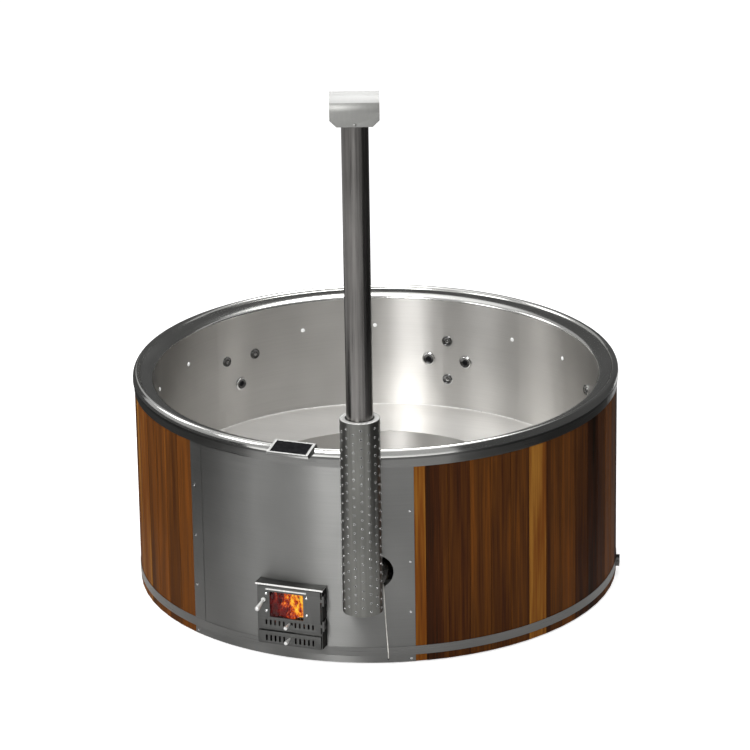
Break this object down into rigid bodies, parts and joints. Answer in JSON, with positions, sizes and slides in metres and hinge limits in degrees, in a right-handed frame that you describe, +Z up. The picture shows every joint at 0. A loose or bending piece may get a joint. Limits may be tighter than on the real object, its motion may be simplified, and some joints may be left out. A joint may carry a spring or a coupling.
{
  "type": "hot tub",
  "caption": "Round wood-fired hot tub: stainless shell with bench and footwell, cedar staves, built-in stove with door and ash drawer, outside chimney with heat shield, wall jets.",
  "frame": {"origin": "on the floor at the tub's vertical axis, under the centre foot", "axes": "+Z up along the tub's axis; -Y faces the stove door; +X to the right of someone who looks at the door"},
  "size_m": [2, 2.2639, 2.387],
  "materials": {
    "shell_steel": "brushed stainless steel",
    "rim_steel": "satin polished stainless steel",
    "panel_steel": "brushed stainless steel sheet",
    "cedar": "oiled red cedar staves of varied tone",
    "timber": "planed timber",
    "stove_steel": "brushed stainless steel, heat toned",
    "black_iron": "cast iron, sooty",
    "flue_steel": "rolled stainless steel pipe",
    "cap_steel": "bent stainless steel sheet",
    "chrome": "polished",
    "fire_glass": "clear heat-proof glass with fire glow behind",
    "black_glass": "black glass",
    "light_lens": "clear lens",
    "pipe_plastic": "white pipe",
    "pump_plastic": "black",
    "brass": "cast brass",
    "lever_red": "painted lever",
    "foot_rubber": "black rubber",
    "lead_white": "pale sheath"
  },
  "bodies": {
    "tub": {"inner_wall": "shell_steel", "bench_ring": "shell_steel", "footwell_wall": "shell_steel", "footwell_floor": "shell_steel", "rim_ring": "rim_steel", "upper_band": "panel_steel", "lower_band": "panel_steel", "band_lock": "panel_steel", "cedar_staves": "cedar", "cladding_frame": "timber", "front_panel": "panel_steel", "panel_seam_strip": "panel_steel", "panel_screws": "chrome", "base_plate": "panel_steel", "base_beams": "timber", "feet": "foot_rubber", "bench_legs": "timber", "stove_casing": "stove_steel", "stove_hood": "stove_steel", "firebox": "stove_steel", "fire_grate": "black_iron", "hinge_pins": "stove_steel", "flue_stub": "flue_steel", "flue_sleeve": "flue_steel", "lower_flue": "flue_steel", "upper_flue": "flue_steel", "heat_shield": "flue_steel", "chimney_cap": "cap_steel", "control_housing": "rim_steel", "control_glass": "black_glass", "wall_lights": "light_lens", "jet_bodies": "chrome", "jet_manifold": "pipe_plastic", "pump_housing": "pump_plastic", "suction_fitting": "pipe_plastic", "drain_pipe": "flue_steel", "drain_valve": "brass", "lead_glands": "pump_plastic", "lead": "lead_white"},
    "fire_door": {"door_panel": "stove_steel", "door_glass": "fire_glass", "glass_clips": "chrome", "door_knuckles": "stove_steel", "slider_guides": "stove_steel"},
    "door_latch": {"latch_handle": "chrome"},
    "air_slide": {"air_slider": "stove_steel"},
    "ash_drawer": {"drawer_tray": "stove_steel", "drawer_front": "stove_steel"},
    "drain_handle": {"drain_lever": "lever_red"},
    "pump_rotor": {"pump_impeller": "pipe_plastic"},
    "jet_ring_1": {"jet_face_1": "chrome"},
    "jet_ring_2": {"jet_face_2": "chrome"},
    "jet_ring_3": {"jet_face_3": "chrome"},
    "jet_ring_4": {"jet_face_4": "chrome"},
    "jet_ring_5": {"jet_face_5": "chrome"},
    "jet_ring_6": {"jet_face_6": "chrome"},
    "jet_ring_7": {"jet_face_7": "chrome"},
    "jet_ring_8": {"jet_face_8": "chrome"},
    "jet_ring_9": {"jet_face_9": "chrome"},
    "jet_ring_10": {"jet_face_10": "chrome"}
  },
  "joints": [
    {"name": "door_hinge", "type": "hinge", "parent": "tub", "child": "fire_door", "pos_m": [0.1413, -1.036, 0.2325], "axis": [0, 0, 1], "range_deg": [0, 110]},
    {"name": "latch_turn", "type": "hinge", "parent": "fire_door", "child": "door_latch", "pos_m": [-0.108, -1.0403, 0.264], "axis": [0, 1, 0], "range_deg": [0, 75]},
    {"name": "air_slide_travel", "type": "slide", "parent": "fire_door", "child": "air_slide", "axis": [1, 0, 0], "range_m": [0, 0.00925]},
    {"name": "drawer_pull", "type": "slide", "parent": "tub", "child": "ash_drawer", "axis": [0, -1, 0], "range_m": [0, 0.24]},
    {"name": "drain_turn", "type": "hinge", "parent": "tub", "child": "drain_handle", "pos_m": [0, 1.036, 0.095], "axis": [0, 0, 1], "range_deg": [0, 90]},
    {"name": "pump_spin", "type": "hinge", "parent": "tub", "child": "pump_rotor", "pos_m": [0.7, 0, 0.15], "axis": [1, 0, 0], "continuous": true},
    {"name": "jet_turn_1", "type": "hinge", "parent": "tub", "child": "jet_ring_1", "pos_m": [-0.74269, 0.52585, 0.6825], "axis": [0.8161, -0.5779, 0], "range_deg": [0, 90]},
    {"name": "jet_turn_2", "type": "hinge", "parent": "tub", "child": "jet_ring_2", "pos_m": [-0.81998, 0.39463, 0.6825], "axis": [0.9011, -0.4337, 0], "range_deg": [0, 90]},
    {"name": "jet_turn_3", "type": "hinge", "parent": "tub", "child": "jet_ring_3", "pos_m": [-0.78408, 0.46186, 0.564], "axis": [0.8616, -0.5075, 0], "range_deg": [0, 90]},
    {"name": "jet_turn_4", "type": "hinge", "parent": "tub", "child": "jet_ring_4", "pos_m": [0, 0.91, 0.687], "axis": [0, -1, 0], "range_deg": [0, 90]},
    {"name": "jet_turn_5", "type": "hinge", "parent": "tub", "child": "jet_ring_5", "pos_m": [0.08327, 0.90618, 0.5995], "axis": [-0.0915, -0.9958, 0], "range_deg": [0, 90]},
    {"name": "jet_turn_6", "type": "hinge", "parent": "tub", "child": "jet_ring_6", "pos_m": [-0.08327, 0.90618, 0.5995], "axis": [0.0915, -0.9958, 0], "range_deg": [0, 90]},
    {"name": "jet_turn_7", "type": "hinge", "parent": "tub", "child": "jet_ring_7", "pos_m": [0, 0.91, 0.512], "axis": [0, -1, 0], "range_deg": [0, 90]},
    {"name": "jet_turn_8", "type": "hinge", "parent": "tub", "child": "jet_ring_8", "pos_m": [0.81998, 0.39463, 0.6825], "axis": [-0.9011, -0.4337, 0], "range_deg": [0, 90]},
    {"name": "jet_turn_9", "type": "hinge", "parent": "tub", "child": "jet_ring_9", "pos_m": [0.74269, 0.52585, 0.6825], "axis": [-0.8161, -0.5779, 0], "range_deg": [0, 90]},
    {"name": "jet_turn_10", "type": "hinge", "parent": "tub", "child": "jet_ring_10", "pos_m": [0.78408, 0.46186, 0.564], "axis": [-0.8616, -0.5075, 0], "range_deg": [0, 90]}
  ]
}
